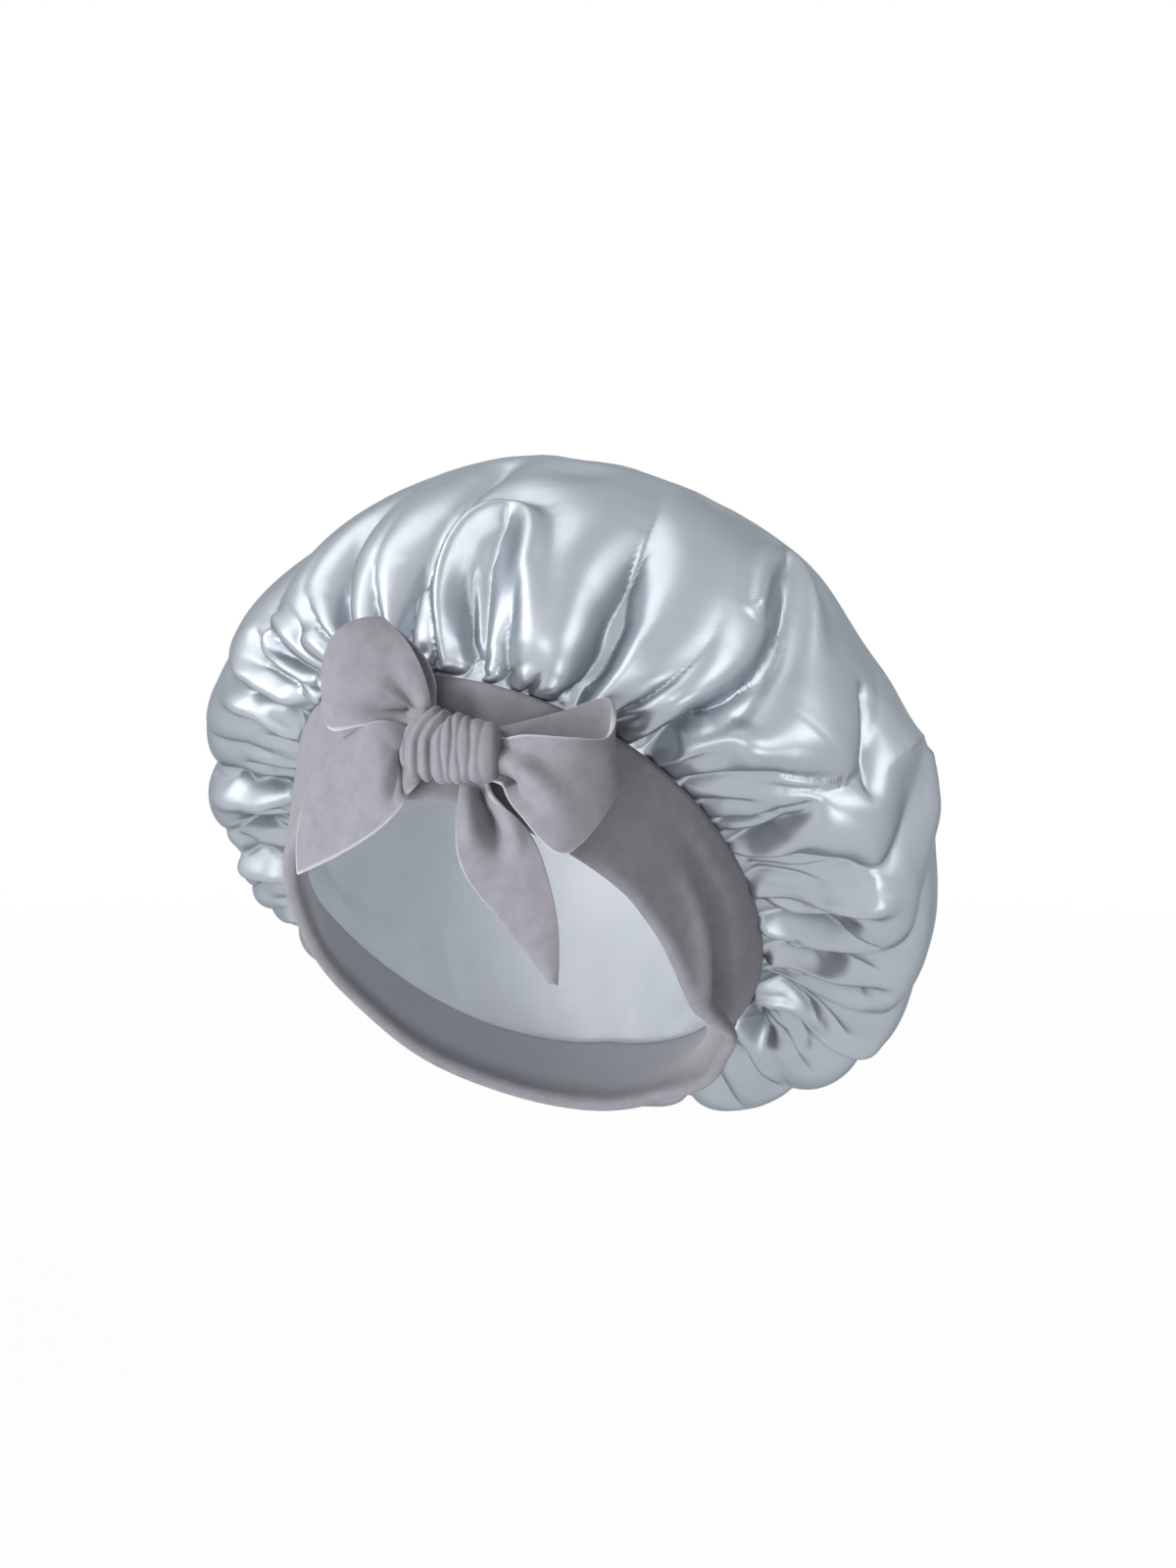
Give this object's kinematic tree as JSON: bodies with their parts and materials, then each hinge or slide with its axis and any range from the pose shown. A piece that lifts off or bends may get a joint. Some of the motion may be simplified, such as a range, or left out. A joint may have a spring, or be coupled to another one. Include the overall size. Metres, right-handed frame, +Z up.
{
  "type": "satin hair bonnet",
  "caption": "Puffed satin bonnet, lined and gathered into a wide folded knit band with elastic, with a knotted bow at the forehead; worn over the hair in bed or while styling.",
  "frame": {"origin": "centre of the head opening, in the plane of the band's folded rim", "axes": "+Z up as worn, -Y to the wearer's front, +X to the wearer's left; the opening leans back 49 degrees from level"},
  "size_m": [0.2926, 0.2727, 0.2771],
  "materials": {
    "satin": "blue-grey charmeuse satin, glossy along its folds",
    "lining_satin": "pale blue-grey satin, matte back outwards",
    "brushed_knit": "mauve-grey brushed stretch knit, matte",
    "woven_elastic": "white woven elastic"
  },
  "bodies": {
    "bonnet": {"satin_crown": "satin", "satin_lining": "lining_satin", "band_casing": "brushed_knit", "band_elastic": "woven_elastic", "tie_anchor": "brushed_knit", "tie_knot": "brushed_knit"},
    "loop_left": {"tie_loop_left": "brushed_knit"},
    "loop_right": {"tie_loop_right": "brushed_knit"},
    "tail_left": {"tie_tail_left": "brushed_knit"},
    "tail_centre": {"tie_tail_centre": "brushed_knit"}
  },
  "joints": [
    {"name": "loop_left_lift", "type": "hinge", "parent": "bonnet", "child": "loop_left", "pos_m": [-0.0133, -0.0704, 0.1077], "axis": [0.9781, 0.2032, 0.0449], "range_deg": [0, 45]},
    {"name": "loop_right_lift", "type": "hinge", "parent": "bonnet", "child": "loop_right", "pos_m": [0.0367, -0.0666, 0.0942], "axis": [0.1178, -0.3627, -0.9244], "range_deg": [0, 30]},
    {"name": "tail_left_lift", "type": "hinge", "parent": "bonnet", "child": "tail_left", "pos_m": [-0.0065, -0.0759, 0.0913], "axis": [-0.1178, 0.3627, 0.9244], "range_deg": [0, 45]},
    {"name": "tail_centre_lift", "type": "hinge", "parent": "bonnet", "child": "tail_centre", "pos_m": [0.0244, -0.0742, 0.0815], "axis": [-0.9781, -0.2032, -0.0449], "range_deg": [0, 60]}
  ]
}
